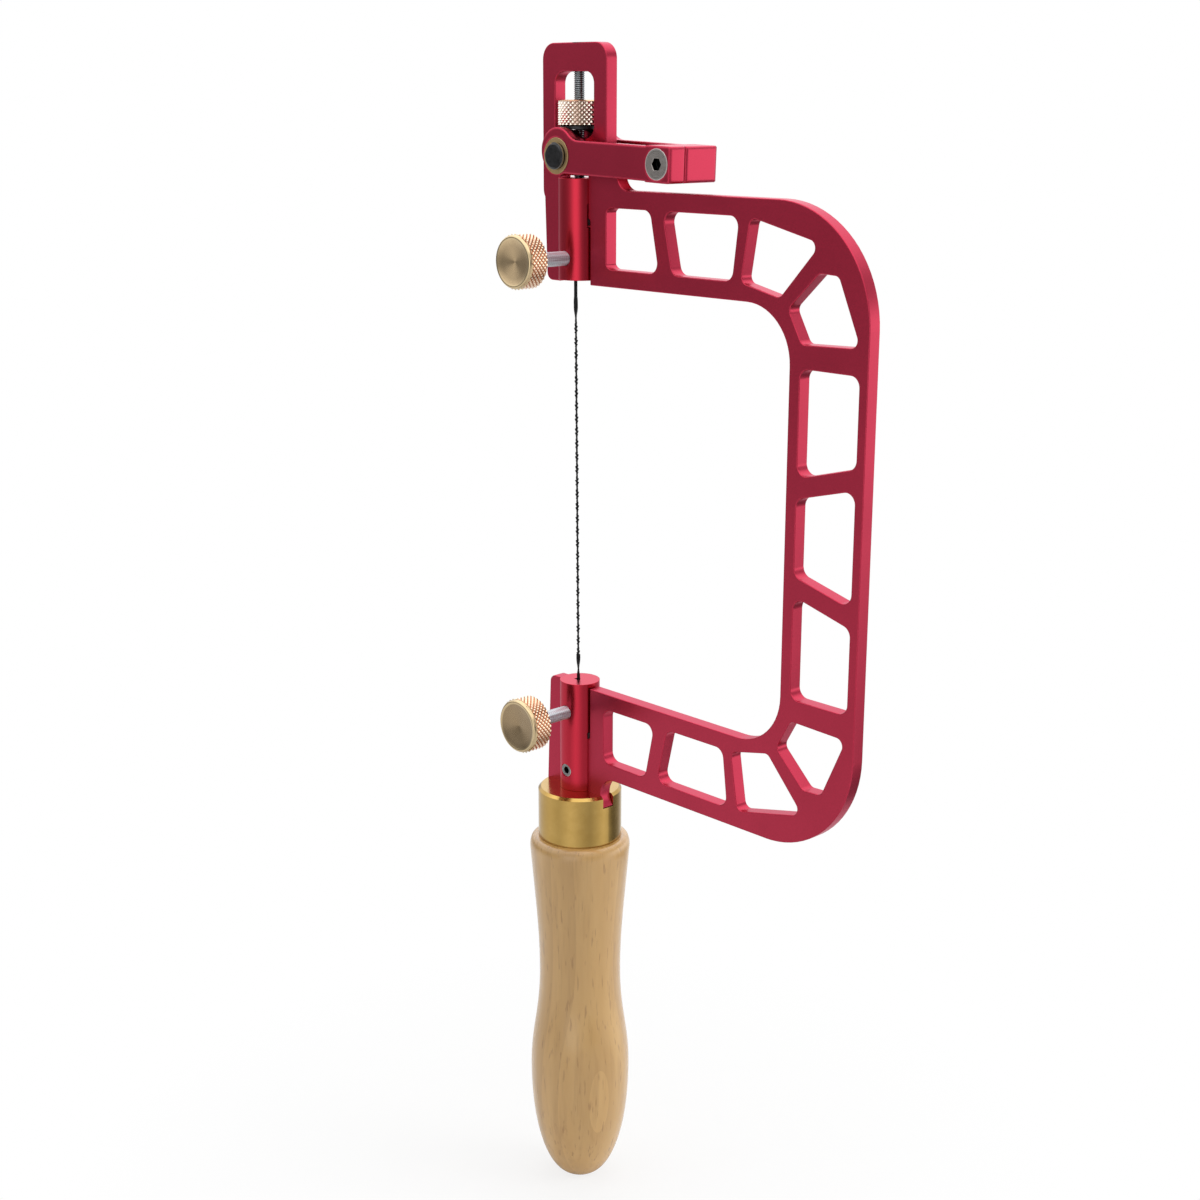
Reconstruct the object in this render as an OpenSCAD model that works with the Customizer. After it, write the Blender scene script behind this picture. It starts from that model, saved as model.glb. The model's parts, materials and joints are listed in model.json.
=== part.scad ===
// Fret saw: a skeletonised plate frame, a cam tension lever and a turned handle.
// Millimetres, +Z up. The origin is the middle of the handle's butt. The blade
// runs up the handle's axis, the spine of the frame lies towards +X, and the
// knobs of the two blade clamps face -Y.

/* [Handle] */
// Height of the wooden handle, from its butt to the ferrule
handle_len = 114.2; // [100:0.1:130]
// Radius of the flat left at the butt
butt_r = 3; // [2:0.1:5]
// Radius of the belly
belly_r = 15.2; // [14.5:0.1:17]
// Height of the belly's widest place
belly_z = 37.5; // [30:0.5:45]
// Radius of the waist
waist_r = 12.4; // [12:0.1:14]
// Height of the waist
waist_z = 70.5; // [60:0.5:80]
// Radius of the shoulder
shoulder_r = 15.1; // [14:0.1:16.5]
// How far the shoulder's rim lies below the ferrule
shoulder_drop = 3.4; // [2:0.1:6]
// Radius of the tenon inside the ferrule
tenon_r = 10; // [9:0.1:10.8]
// Height of the tenon
tenon_len = 7; // [5:0.1:9]

/* [Ferrule and stud] */
// Radius of the ferrule
ferrule_r = 12.5; // [12:0.1:13.5]
// Height of the ferrule
ferrule_len = 15.6; // [14.5:0.1:18]
// Chamfer round the ferrule's upper rim
ferrule_chamfer = 0.8; // [0.4:0.1:1.2]
// Radius of the stud that ties the handle to the lower post
stud_r = 1.5; // [1.2:0.1:1.6]
// How far the stud reaches into the lower post
stud_rise = 11; // [9:0.5:13]
// How far the stud reaches below the ferrule
stud_reach = 32; // [26:1:40]
// Radius of the threaded insert in the handle
insert_r = 3.6; // [3:0.1:5]
// Length of the threaded insert
insert_len = 20; // [12:1:24]

/* [Frame] */
// Thickness of the plate
plate_t = 4; // [3.8:0.1:4.6]
// Height of the throat, between the two arms
throat_h = 117.3; // [112:0.1:125]
// Depth of the throat, from the handle's axis to the spine
throat_d = 79.8; // [75:0.1:95]
// Height of each arm
arm_h = 26.1; // [25:0.1:29]
// Width of the spine
spine_w = 25.2; // [24:0.1:28]
// Height of the lower arm above the ferrule
arm_lift = 6; // [5:0.1:8]
// Radius of the upper outer corner
upper_corner_r = 30.5; // [26:0.5:32]
// Radius of the lower outer corner
lower_corner_r = 29; // [26:0.5:30]
// Radius of the two corners of the throat
inner_corner_r = 15; // [12:0.5:17]
// Width of the rims along the arms
arm_rim = 4.8; // [4.4:0.1:5.5]
// Width of the spine's rim along the throat
spine_inner_rim = 3.5; // [3:0.1:4.2]
// Width of the spine's outer rim
spine_outer_rim = 2.7; // [2.4:0.1:3.2]
// Corner radius of the arm and spine windows
window_r = 2.8; // [2:0.1:3]
// Corner radius of the windows at the two bends
bend_window_r = 2; // [1.5:0.1:2.2]
// Depth of the foot in the ferrule's slot
foot_depth = 3.7; // [3:0.1:4.2]
// Half of the foot's length
foot_half = 12.3; // [11.8:0.1:12.4]
// Half of the foot's length at the neck of the notch behind it
foot_neck = 11; // [10.5:0.1:11.5]
// Radius of the notch between the foot and the lower arm
foot_notch_r = 5.7; // [5:0.1:6]

/* [Tower] */
// Width of the tower above the upper arm
tower_w = 25.6; // [24.5:0.1:27]
// Height of the tower above the upper arm
tower_h = 38.6; // [37:0.1:41]
// Corner radius of the tower's top
tower_r = 4.3; // [2:0.1:4.6]
// Width of the tower's window
tower_window_w = 15.5; // [14.6:0.1:16.5]
// Height of the bar over the tower's window
tower_bar = 7.6; // [6.5:0.1:8]
// Corner radius of the tower's window
tower_window_r = 3.2; // [2:0.1:3.6]
// How far the shoulder runs out behind the tower
shoulder_run = 4.1; // [3.5:0.1:6.5]
// Radius of the fillet between the shoulder and the upper arm
shoulder_fillet = 4.2; // [3.5:0.1:5]
// How far the front leg narrows towards the blade
leg_taper = 1.5; // [0.5:0.1:2.5]
// Corner radius of the front legs' tips
leg_tip_r = 2.2; // [1:0.1:3]
// How far the upper leg's tip stands back from the throat
leg_rise = 0.4; // [0:0.1:0.8]
// How far the lower leg's tip stands over the throat's edge
lower_leg_rise = 0.7; // [0:0.1:1]

/* [Blade clamps] */
// Radius of the two posts
post_r = 5.9; // [5.6:0.1:6.2]
// Length of the upper post
upper_post_len = 27.7; // [26:0.1:28.3]
// How far each post's end stands back from the throat
post_setback = 1.2; // [0.5:0.1:1.5]
// Distance of the clamp screw from the post's end
clamp_inset = 6; // [5.5:0.1:7.5]
// Distance of the lower clamp screw from the post's end
lower_clamp_inset = 9.1; // [6.5:0.1:9.6]
// Depth of the blade's pocket in a post's end
slot_h = 12.6; // [12:0.1:14]
// Width of the blade's pocket
slot_w = 1.3; // [1.2:0.1:1.5]
// Radius of the clamp screws
screw_r = 2; // [1.8:0.1:2.1]
// Radius of the upper knurled knob
knob_r = 7.6; // [7:0.1:8.5]
// Radius of the lower knurled knob
lower_knob_r = 8.1; // [7:0.1:8.5]
// Thickness of the knobs
knob_t = 6.6; // [6:0.1:8]
// Distance of the knobs' outer faces from the handle's axis
knob_reach = 24.8; // [23:0.1:27]
// Depth of the knobs' dished faces
knob_dish = 1.1; // [0.6:0.1:1.4]
// Radius of the pressure pads
pad_r = 1.7; // [1.4:0.1:1.7]
// Thickness of the pressure pads
pad_t = 1; // [0.8:0.1:1.2]
// Radius of the set screw in the lower post
set_screw_r = 2; // [1.6:0.1:2.1]
// Height of the set screw above the ferrule
set_screw_rise = 6; // [5:0.1:7]
// Radius of the dowels that key the posts to the plate
dowel_r = 0.9; // [0.7:0.05:1]
// Distance of the dowels from the handle's axis
dowel_x = 5.5; // [5.3:0.05:5.7]
// Distance of the dowels from the posts' ends
dowel_inset = 15.9; // [15:0.1:16.5]
// Distance of the arms' plain edges, between dowel and throat, from the handle's axis
arm_edge = 6.4; // [6.3:0.1:7]

/* [Blade] */
// Width of the twisted blade's strip
blade_w = 1; // [0.8:0.05:1.1]
// Thickness of the blade's strip
blade_t = 0.5; // [0.4:0.05:0.6]
// How far the blade's lower end lies in front of the handle's axis
blade_front = 0.6; // [0.4:0.05:1.5]
// How far the blade's upper end lies in front of the handle's axis
blade_front_high = 1.6; // [0.4:0.05:1.7]
// How far the blade reaches past the middles of the clamp screws
blade_past = 0.5; // [0.3:0.1:2]
// Number of turns of the tight twist
blade_turns = 13; // [8:1:20]
// Length of the slow half turn at each end of the twist
blade_lead = 8; // [4:0.5:12]

/* [Tension lever] */
// Height of the lever's pivot above the upper arm
pivot_rise = 8.8; // [8.4:0.1:9.4]
// Radius of the pivot pin
pivot_r = 3.4; // [3.2:0.1:3.5]
// How far the pivot pin stands proud of the lever
pivot_proud = 1.1; // [0.9:0.1:1.5]
// Half of the lever's width
lever_half = 8.8; // [8.6:0.1:9.2]
// Thickness of the lever's side plates
lever_plate = 2.5; // [2:0.1:2.6]
// Height of the lever's arms
lever_h = 8.9; // [8.4:0.1:9.4]
// Length of the lever behind its pivot
lever_len = 43.5; // [42:0.1:48]
// Length of the lever's tail
tail_len = 9.2; // [8.8:0.1:9.4]
// How much higher the tail is than the arms, on each side
tail_swell = 0.25; // [0:0.05:0.4]
// Corner radius of the tail in side view
tail_r = 0.8; // [0.5:0.1:1.2]
// Radius of the edges of the tail's end, seen from above
tail_edge_r = 0.9; // [0.5:0.1:1.4]
// Where the two halves of the tail meet, from the plate's middle
tail_split = 2.85; // [2.5:0.05:3.2]
// How far the closed lever drops behind its pivot, in degrees
lever_tilt = 1.9; // [0:0.1:3]
// Opening of the lever, in degrees
lever_open = 100; // [80:1:105]
// Height of the cams above the pivot when closed
cam_top = 6.95; // [6.8:0.05:7.1]
// How far the cams let the post down when open
cam_drop = 1.8; // [1.2:0.1:1.9]
// Radius of the lever's hub
hub_r = 6.2; // [6:0.1:6.4]
// Forward shift of the hub's middle towards the tail
hub_x = 0.4; // [0.2:0.1:0.6]
// Rise of the hub's middle above the pivot
hub_rise = 1.4; // [1.2:0.1:1.5]
// Radius of the blend between the hub and the arm
hub_blend = 6; // [4:0.5:8]
// Radius of the pivot bushes' sleeves
bush_r = 4; // [3.9:0.05:4.1]
// Radius of the pivot bushes' flanges
flange_r = 4.9; // [4.6:0.05:5]
// Thickness of the pivot bushes' flanges
flange_t = 1; // [0.8:0.1:1.3]
// Radius of the lever screw's shank
lever_screw_r = 2; // [1.6:0.1:2.1]
// Radius of the lever screw's countersunk head
lever_head_r = 4.1; // [3.5:0.05:4.2]
// Distance of the lever screw from the tail's end
lever_screw_inset = 4.9; // [4.5:0.1:5]
// Radius of the lever screw's hexagon socket, over its corners
socket_r = 1.75; // [1.2:0.05:1.8]

/* [Tension rod] */
// Radius of the tension rod
rod_r = 1.5; // [1.3:0.05:1.55]
// How far the rod is screwed into the upper post
rod_grip = 9; // [6:0.5:10]
// How far the rod's end lies below the tower's top
rod_drop = 1.5; // [1.2:0.1:3]
// Radius of the knurled tension nut
nut_r = 5.9; // [5.5:0.1:6]
// Height of the tension nut
nut_h = 6.9; // [6:0.1:7.5]
// Thickness of the washer between the nut and the cams
washer_t = 0.8; // [0.6:0.05:0.9]
// Radius of that washer
washer_r = 5.5; // [5:0.1:5.8]
// Travel of the upper post by the nut, upwards
nut_lift = 0.3; // [0.2:0.1:0.5]
// Travel of the upper post by the nut, downwards
nut_lower = 2; // [1:0.1:2.2]

/* [Hidden] */
$fn = 64;

// Clearances: pressed pieces, running pieces, free holes, faces that pass each other
fit = 0.02;
run = 0.06;
free = 0.1;
pass = 0.3;
// Overrun of every cut
over = 1;

// Heights up the handle's axis
ferrule_top = handle_len + ferrule_len;
arm_low = ferrule_top + arm_lift;
throat_low = arm_low + arm_h;
throat_mid = throat_low + throat_h / 2;
throat_high = throat_low + throat_h;
arm_high = throat_high + arm_h;
pivot_z = arm_high + pivot_rise;
tower_top = arm_high + tower_h;
washer_z = pivot_z + cam_top + run;
nut_z = washer_z + washer_t + run;
upper_end = throat_high + post_setback;
upper_post_top = upper_end + upper_post_len;
lower_end = throat_low + post_setback;
upper_clamp_z = upper_end + clamp_inset;
lower_clamp_z = lower_end - lower_clamp_inset;
upper_dowel_z = upper_end + dowel_inset;
lower_dowel_z = lower_end - dowel_inset;
set_screw_z = ferrule_top + set_screw_rise;

// The upper bore ends above the post's highest place
post_headroom = nut_lift + pass;
upper_bore_top = upper_post_top + post_headroom;
// Web of the plate over the pivot hole
pivot_web = 1.3;
tower_window_low = pivot_z + pivot_r + pivot_web;
tower_window_high = tower_top - tower_bar;
guide_r = 1.8;

// Faces of the lever's pieces, from the plate's middle
cam_inner = plate_t / 2 + pass;
cam_outer = lever_half - lever_plate;
cam_pitch = cam_drop / (lever_open * PI / 180);
cam_overrun = 4;
cam_step = 4;
// Root of the cams, which stays below the washer when the lever is open
cam_root_r = cam_top - cam_drop - free;
// Rim of the arms round the bushes' flanges
flange_rim = 0.2;

// Blade pocket: its far wall carries the blade
slot_far = blade_t / 2 + fit;
slot_near = slot_far - slot_w;
slot_len = blade_w + 2 * pass;
// The blade's twist ends clear of the posts over their whole travel
blade_twist_low = lower_end + post_setback;
blade_twist_len = upper_end - nut_lower - cam_drop - post_setback - blade_twist_low;
blade_lead_steps = 5;
pad_face = -blade_t / 2 - run;
pad_back = pad_face - pad_t;
pad_stem_r = 0.7;
pad_stem_len = 1.8;
// Dished groove behind the knobs' rims and their edge chamfers
knob_chamfer = 0.5;
knob_bore_floor = 2.6;
knob_rim_w = 0.8;
screw_chamfer = 0.4;

// Retaining clips in the pivot pin's grooves
clip_t = 0.5;
clip_w = 0.55;
clip_gap = 0.25;
clip_depth = 0.35;
clip_open = 60;
// Turn of the clips about the pin, which brings their gap up to the front
clip_turn = 195;
pin_chamfer = 0.35;

// Shares of the throat's depth and of the window band's height, corner by corner
arm_window_shares = [
    [[0.154, 1], [0.370, 1], [0.414, 0], [0.154, 0]],
    [[0.430, 1], [0.772, 1], [0.746, 0], [0.478, 0]]];
// Shares of the spine's width and the arm's height, from the throat's corner
bend_window_shares = [
    [[-0.568, 0.813], [0.352, 0.609], [-0.155, 0.072], [-0.679, 0.183]],
    [[-0.036, -0.025], [0.350, 0.334], [0.592, 0.323], [0.889, -0.323], [0.152, -0.350]]];
// Shares of half the throat's height: the spine windows' upper, inner and outer corners
spine_top_share = 0.740;
spine_outer_low_share = 0.351;
spine_inner_low_share = 0.264;
spine_inner_mid_share = 0.172;
spine_outer_mid_share = 0.257;
// Shares that place the pulls of the handle's curves
butt_pull_share = 0.53;
belly_below_share = 0.373;
belly_above_share = 0.379;
waist_below_share = 0.53;
waist_above_share = 0.335;
shoulder_in_share = 0.632;
shoulder_below_share = 0.682;
shoulder_above_share = 0.55;
shoulder_top_share = 0.75;
// Samples of each of those curves
curve_steps = 12;
// Share of the set screw's radius that its hexagon socket takes
set_socket_share = 0.58;

function unit(v) = v / norm(v);
function corner_half(a, p, b) = acos(unit(a - p) * unit(b - p)) / 2;
function corner_mid(a, p, b, r) =
    p + unit(unit(a - p) + unit(b - p)) * r / sin(corner_half(a, p, b));
function corner_run(a, p, b, r) = r / tan(corner_half(a, p, b));
function bezier(a, b, c, d) = [for (i = [0 : curve_steps - 1])
    let (t = i / curve_steps, s = 1 - t)
    a * s * s * s + b * 3 * s * s * t + c * 3 * s * t * t + d * t * t * t];

// A convex outline with every corner rounded to radius r
module rounded(points, r) {
    n = len(points);
    polygon([for (i = [0 : n - 1])
        let (a = points[(i + n - 1) % n], p = points[i], b = points[(i + 1) % n],
            reach = corner_run(a, p, b, r))
        each [p + unit(a - p) * reach, p + unit(b - p) * reach]]);
    for (i = [0 : n - 1])
        translate(corner_mid(points[(i + n - 1) % n], points[i], points[(i + 1) % n], r))
            circle(r);
}

function box_points(x0, x1, z0, z1) = [[x0, z0], [x1, z0], [x1, z1], [x0, z1]];

// A slab between y0 and y1 whose outline is drawn in X and Z
module slab(y0, y1) {
    translate([0, y1, 0]) rotate([90, 0, 0]) linear_extrude(y1 - y0) children();
}

// A rod along Y from y0 to y1
module rod_y(r, y0, y1) {
    translate([0, y1, 0]) rotate([90, 0, 0]) cylinder(r = r, h = y1 - y0);
}

// A body turned about Y: the profile's second coordinate runs towards -Y
module turned_y() {
    rotate([90, 0, 0]) rotate_extrude() children();
}

// The windows of the upper half; heights are from the throat's middle
module upper_windows() {
    band = arm_h - 2 * arm_rim;
    for (w = arm_window_shares)
        rounded([for (s = w) [s.x * throat_d, throat_h / 2 + arm_rim + s.y * band]], window_r);
    for (w = bend_window_shares)
        rounded([for (s = w) [throat_d + s.x * spine_w, throat_h / 2 + s.y * arm_h]], bend_window_r);
    half = throat_h / 2;
    inner = throat_d + spine_inner_rim;
    outer = throat_d + spine_w - spine_outer_rim;
    rounded([[inner, half * spine_inner_low_share], [outer, half * spine_outer_low_share],
        [outer, half * spine_top_share], [inner, half * spine_top_share]], window_r);
}

module middle_window() {
    half = throat_h / 2;
    inner = throat_d + spine_inner_rim;
    outer = throat_d + spine_w - spine_outer_rim;
    rounded([[inner, -half * spine_inner_mid_share], [outer, -half * spine_outer_mid_share],
        [outer, half * spine_outer_mid_share], [inner, half * spine_inner_mid_share]], window_r);
}

// The outline of the upper half of the C, from the throat's middle, with its corner
module bow_half(corner_r) {
    outer_x = throat_d + spine_w;
    edge = throat_h / 2 + arm_h;
    translate([0, -over]) square([outer_x - corner_r, edge + over]);
    translate([0, -over]) square([outer_x, edge - corner_r + over]);
    translate([outer_x - corner_r, edge - corner_r]) circle(corner_r);
}

// The C of the frame with its corners and windows
module bow_outline() {
    difference() {
        translate([0, throat_mid]) {
            bow_half(upper_corner_r);
            mirror([0, 1]) bow_half(lower_corner_r);
        }
        translate([-over, throat_low]) square([throat_d - inner_corner_r + over, throat_h]);
        translate([-over, throat_low + inner_corner_r])
            square([throat_d + over, throat_h - 2 * inner_corner_r]);
        for (z = [throat_low + inner_corner_r, throat_high - inner_corner_r])
            translate([throat_d - inner_corner_r, z]) circle(inner_corner_r);
        translate([0, throat_mid]) {
            upper_windows();
            mirror([0, 1]) upper_windows();
            middle_window();
        }
    }
}

// The tower over the upper arm, its front leg and the shoulder behind it
module tower_outline() {
    half = tower_w / 2;
    difference() {
        union() {
            rounded(box_points(-half, half, arm_high - arm_rim, tower_top), tower_r);
            rounded([[-half, pivot_z + arm_rim], [-half + leg_taper, throat_high + leg_rise],
                [half, throat_high + leg_rise], [half, pivot_z + arm_rim]], leg_tip_r);
            polygon([[0, arm_high], [half + shoulder_run, arm_high],
                [half + shoulder_run, arm_high + shoulder_fillet],
                [half, pivot_z], [0, pivot_z]]);
            difference() {
                translate([half, arm_high - arm_rim])
                    square([shoulder_run + shoulder_fillet, arm_rim + shoulder_fillet]);
                translate([half + shoulder_run + shoulder_fillet, arm_high + shoulder_fillet])
                    circle(shoulder_fillet);
            }
        }
        rounded(box_points(-tower_window_w / 2, tower_window_w / 2, tower_window_low,
            tower_window_high), tower_window_r);
    }
}

// The lower leg and the foot that stands in the ferrule's slot, with the notch behind it
module foot_outline() {
    foot_low = ferrule_top - foot_depth;
    leg_top = throat_low + lower_leg_rise;
    notch = [foot_neck + foot_notch_r, arm_low - foot_notch_r];
    rounded([[-foot_half, foot_low], [post_r, foot_low], [post_r, leg_top],
        [-foot_half + leg_taper, leg_top]], leg_tip_r);
    difference() {
        union() {
            translate([-foot_half, foot_low]) square([2 * foot_half, leg_tip_r]);
            translate([0, foot_low]) square([foot_half, arm_low - foot_low]);
            translate([0, notch.y]) square([notch.x, arm_low + arm_rim - notch.y]);
        }
        translate(notch) circle(foot_notch_r);
    }
}

module frame() {
    color([0.72, 0.13, 0.22]) difference() {
        slab(-plate_t / 2, plate_t / 2) union() {
            bow_outline();
            tower_outline();
            foot_outline();
        }
        translate([0, 0, throat_high - over])
            cylinder(r = post_r + run, h = upper_bore_top - throat_high + over);
        translate([0, 0, ferrule_top]) cylinder(r = post_r + fit, h = throat_low - ferrule_top + over);
        translate([0, 0, upper_bore_top - over])
            cylinder(r = rod_r + free, h = tower_window_low - upper_bore_top + 2 * over);
        translate([0, 0, tower_window_high - over])
            cylinder(r = guide_r + fit, h = tower_bar + 2 * over);
        translate([0, 0, ferrule_top - foot_depth - over])
            cylinder(r = stud_r + free, h = foot_depth + 2 * over);
        translate([0, 0, pivot_z]) rod_y(pivot_r + fit, -plate_t, plate_t);
        for (z = [upper_dowel_z, lower_dowel_z])
            translate([dowel_x, 0, z]) rod_y(dowel_r + fit, -plate_t, plate_t);
        translate([0, -plate_t, throat_high - over])
            cube([arm_edge, 2 * plate_t, upper_dowel_z - throat_high + over]);
        translate([0, -plate_t, lower_dowel_z])
            cube([arm_edge, 2 * plate_t, throat_low - lower_dowel_z + over]);
    }
}

// Half of the handle's section, from the butt up to the tenon
module handle_profile() {
    rise = waist_z - belly_z;
    shoulder_z = handle_len - shoulder_drop;
    climb = shoulder_z - waist_z;
    lip_r = ferrule_r + (shoulder_r - ferrule_r) * (1 - shoulder_top_share);
    polygon(concat([[0, 0]],
        bezier([butt_r, 0], [butt_r + (belly_r - butt_r) * butt_pull_share, 0],
            [belly_r, belly_z * belly_below_share], [belly_r, belly_z]),
        bezier([belly_r, belly_z], [belly_r, belly_z + rise * belly_above_share],
            [waist_r, belly_z + rise * waist_below_share], [waist_r, waist_z]),
        bezier([waist_r, waist_z], [waist_r, waist_z + climb * waist_above_share],
            [waist_r + (shoulder_r - waist_r) * shoulder_in_share,
                waist_z + climb * shoulder_below_share], [shoulder_r, shoulder_z]),
        bezier([shoulder_r, shoulder_z],
            [shoulder_r, shoulder_z + shoulder_drop * shoulder_above_share],
            [lip_r + (shoulder_r - lip_r) * shoulder_top_share, handle_len], [lip_r, handle_len]),
        [[lip_r, handle_len], [tenon_r, handle_len], [tenon_r, handle_len + tenon_len],
            [0, handle_len + tenon_len]]));
}

module handle() {
    stud_foot = handle_len - stud_reach;
    color([0.82, 0.66, 0.44]) difference() {
        rotate_extrude() handle_profile();
        translate([0, 0, handle_len - insert_len])
            cylinder(r = insert_r + fit, h = insert_len + tenon_len + over);
        translate([0, 0, stud_foot - over])
            cylinder(r = stud_r + free, h = stud_reach + tenon_len + over);
    }
}

module ferrule() {
    color([0.78, 0.62, 0.33]) difference() {
        rotate_extrude() polygon([[0, handle_len + fit], [ferrule_r, handle_len + fit],
            [ferrule_r, ferrule_top - ferrule_chamfer], [ferrule_r - ferrule_chamfer, ferrule_top],
            [0, ferrule_top]]);
        translate([0, 0, handle_len - over])
            cylinder(r = tenon_r + fit, h = tenon_len + fit + over);
        translate([0, 0, handle_len]) cylinder(r = stud_r + free, h = ferrule_len + over);
        translate([-ferrule_r - over, -plate_t / 2 - fit, ferrule_top - foot_depth - fit])
            cube([2 * (ferrule_r + over), plate_t + 2 * fit, foot_depth + over]);
    }
}

module handle_stud() {
    foot = handle_len - stud_reach;
    color("gray") translate([0, 0, foot])
        cylinder(r = stud_r, h = stud_reach + ferrule_len + stud_rise);
}

module handle_insert() {
    color([0.72, 0.58, 0.30]) translate([0, 0, handle_len - insert_len + fit]) difference() {
        cylinder(r = insert_r, h = insert_len);
        translate([0, 0, -over]) cylinder(r = stud_r + fit, h = insert_len + 2 * over);
    }
}

// The cuts of one clamp in a post whose end lies at the given height. The pocket
// opens to the post's end, and runs away from the end by up, 1 or -1.
module clamp_cuts(end, clamp_z, up, front) {
    low = up > 0 ? end - over : end - slot_h;
    translate([-front - slot_len / 2, slot_near, low]) cube([slot_len, slot_w, slot_h + over]);
    translate([0, 0, clamp_z]) rod_y(screw_r + run, -post_r - over, pad_face + free);
}

module lower_post() {
    color([0.80, 0.15, 0.22]) difference() {
        translate([0, 0, ferrule_top + fit]) cylinder(r = post_r, h = lower_end - ferrule_top - fit);
        clamp_cuts(lower_end, lower_clamp_z, -1, blade_front);
        translate([0, 0, ferrule_top - over]) cylinder(r = stud_r + fit, h = stud_rise + fit + over);
        translate([0, 0, set_screw_z]) rod_y(set_screw_r + fit, -post_r - over, 0);
        translate([dowel_x, 0, lower_dowel_z])
            rod_y(dowel_r + fit, -plate_t / 2 - fit, plate_t / 2 + fit);
    }
}

module lower_post_set_screw() {
    color([0.25, 0.25, 0.27]) translate([0, 0, set_screw_z]) difference() {
        rod_y(set_screw_r, -post_r + screw_chamfer, -stud_r - fit);
        translate([0, -post_r + screw_chamfer + set_screw_r, 0])
            rotate([90, 0, 0]) cylinder(r = set_screw_r * set_socket_share, h = 2 * set_screw_r, $fn = 6);
    }
}

module dowel(z) {
    color([0.14, 0.14, 0.15]) translate([dowel_x, 0, z]) rod_y(dowel_r, -plate_t / 2, plate_t / 2);
}

module lower_dowel() { dowel(lower_dowel_z); }

module upper_dowel() { dowel(upper_dowel_z); }

// The upper post slides: a keyway behind it rides on the dowel over the whole travel
module upper_post() {
    flat_x = dowel_x - dowel_r - free;
    flat_w = plate_t + 2 * free;
    flat_low = upper_dowel_z - dowel_r - nut_lift - pass;
    flat_high = upper_dowel_z + dowel_r + nut_lower + cam_drop + pass;
    color([0.80, 0.15, 0.22]) difference() {
        translate([0, 0, upper_end]) cylinder(r = post_r, h = upper_post_len);
        clamp_cuts(upper_end, upper_clamp_z, 1, blade_front_high);
        translate([0, 0, upper_post_top - rod_grip]) cylinder(r = rod_r + fit, h = rod_grip + over);
        translate([flat_x, -flat_w / 2, flat_low]) cube([post_r, flat_w, flat_high - flat_low]);
    }
}

module tension_rod() {
    foot = upper_post_top - rod_grip + fit;
    color("silver") translate([0, 0, foot]) cylinder(r = rod_r, h = tower_top - rod_drop - foot);
}

module tension_nut() {
    color([0.80, 0.64, 0.36]) translate([0, 0, nut_z]) rotate_extrude() polygon([
        [rod_r + run, 0], [nut_r - knob_chamfer, 0], [nut_r, knob_chamfer],
        [nut_r, nut_h - knob_chamfer], [nut_r - knob_chamfer, nut_h], [rod_r + run, nut_h]]);
}

module thrust_washer() {
    color([0.16, 0.16, 0.17]) translate([0, 0, washer_z]) difference() {
        cylinder(r = washer_r, h = washer_t);
        translate([0, 0, -over]) cylinder(r = rod_r + free, h = washer_t + 2 * over);
    }
}

// Side view of the lever's arm about its pivot: hub, blend and bar
module arm_outline() {
    half = lever_h / 2;
    mid = [hub_x, hub_rise];
    blend_z = half + hub_blend;
    blend_x = hub_x + sqrt(pow(hub_r + hub_blend, 2) - pow(blend_z - hub_rise, 2));
    blend_mid = [blend_x, blend_z];
    rotate(-lever_tilt) {
        translate(mid) circle(hub_r);
        circle(flange_r + flange_rim);
        translate([0, -half]) square([lever_len - tail_swell, lever_h]);
        difference() {
            polygon([mid, mid + unit(blend_mid - mid) * hub_r, blend_mid, [blend_x, half]]);
            translate(blend_mid) circle(hub_blend);
        }
    }
}

// The tail's block from y0 to y1, rounded in side view and along its end's edges
module tail_block(y0, y1) {
    half = lever_h / 2 + tail_swell;
    start = lever_len - tail_len;
    rotate([0, lever_tilt, 0]) intersection() {
        slab(y0, y1) rounded(box_points(start, lever_len, -half, half), tail_r);
        translate([0, 0, -lever_h]) linear_extrude(2 * lever_h)
            rounded(box_points(start - tail_len, lever_len, y0, y1), tail_edge_r);
    }
}

// The cam's flank: its height over the pivot falls evenly as the lever opens
function cam_point(a) =
    let (p = cam_top - cam_pitch * (90 - a) * PI / 180)
    [p * cos(a) - cam_pitch * sin(a), p * sin(a) + cam_pitch * cos(a)];

module cam_outline() {
    circle(cam_root_r);
    polygon(concat([[0, 0]],
        [for (a = [90 - lever_open - cam_overrun : cam_step : 90 + cam_overrun]) cam_point(a)]));
}

// One arm of the lever at the pivot, drawn for the near side; its tail runs in to tail_face
module lever_side(tail_face) {
    difference() {
        union() {
            slab(-lever_half, -cam_outer) arm_outline();
            slab(-cam_outer, -cam_inner) cam_outline();
            tail_block(-lever_half, tail_face);
        }
        rod_y(bush_r + fit, -lever_half - over, -cam_inner + over);
        rod_y(flange_r + fit, -lever_half - over, -lever_half + flange_t);
    }
}

// Children placed at the lever screw's middle, in the lever's closed place
module at_lever_screw() {
    rotate([0, lever_tilt, 0]) translate([lever_len - lever_screw_inset, 0, 0]) children();
}

module lever_near_arm() {
    color([0.74, 0.14, 0.24]) translate([0, 0, pivot_z]) difference() {
        lever_side(-tail_split);
        at_lever_screw() rod_y(lever_screw_r + free, -lever_half - over, 0);
        at_lever_screw() translate([0, -lever_half - fit, 0]) rotate([-90, 0, 0])
            cylinder(r1 = lever_head_r + fit, r2 = 0, h = lever_head_r + fit);
    }
}

module lever_far_arm() {
    color([0.74, 0.14, 0.24]) translate([0, 0, pivot_z]) difference() {
        mirror([0, 1, 0]) lever_side(tail_split - fit);
        at_lever_screw() rod_y(lever_screw_r + fit, -lever_half, cam_outer);
    }
}

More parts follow.
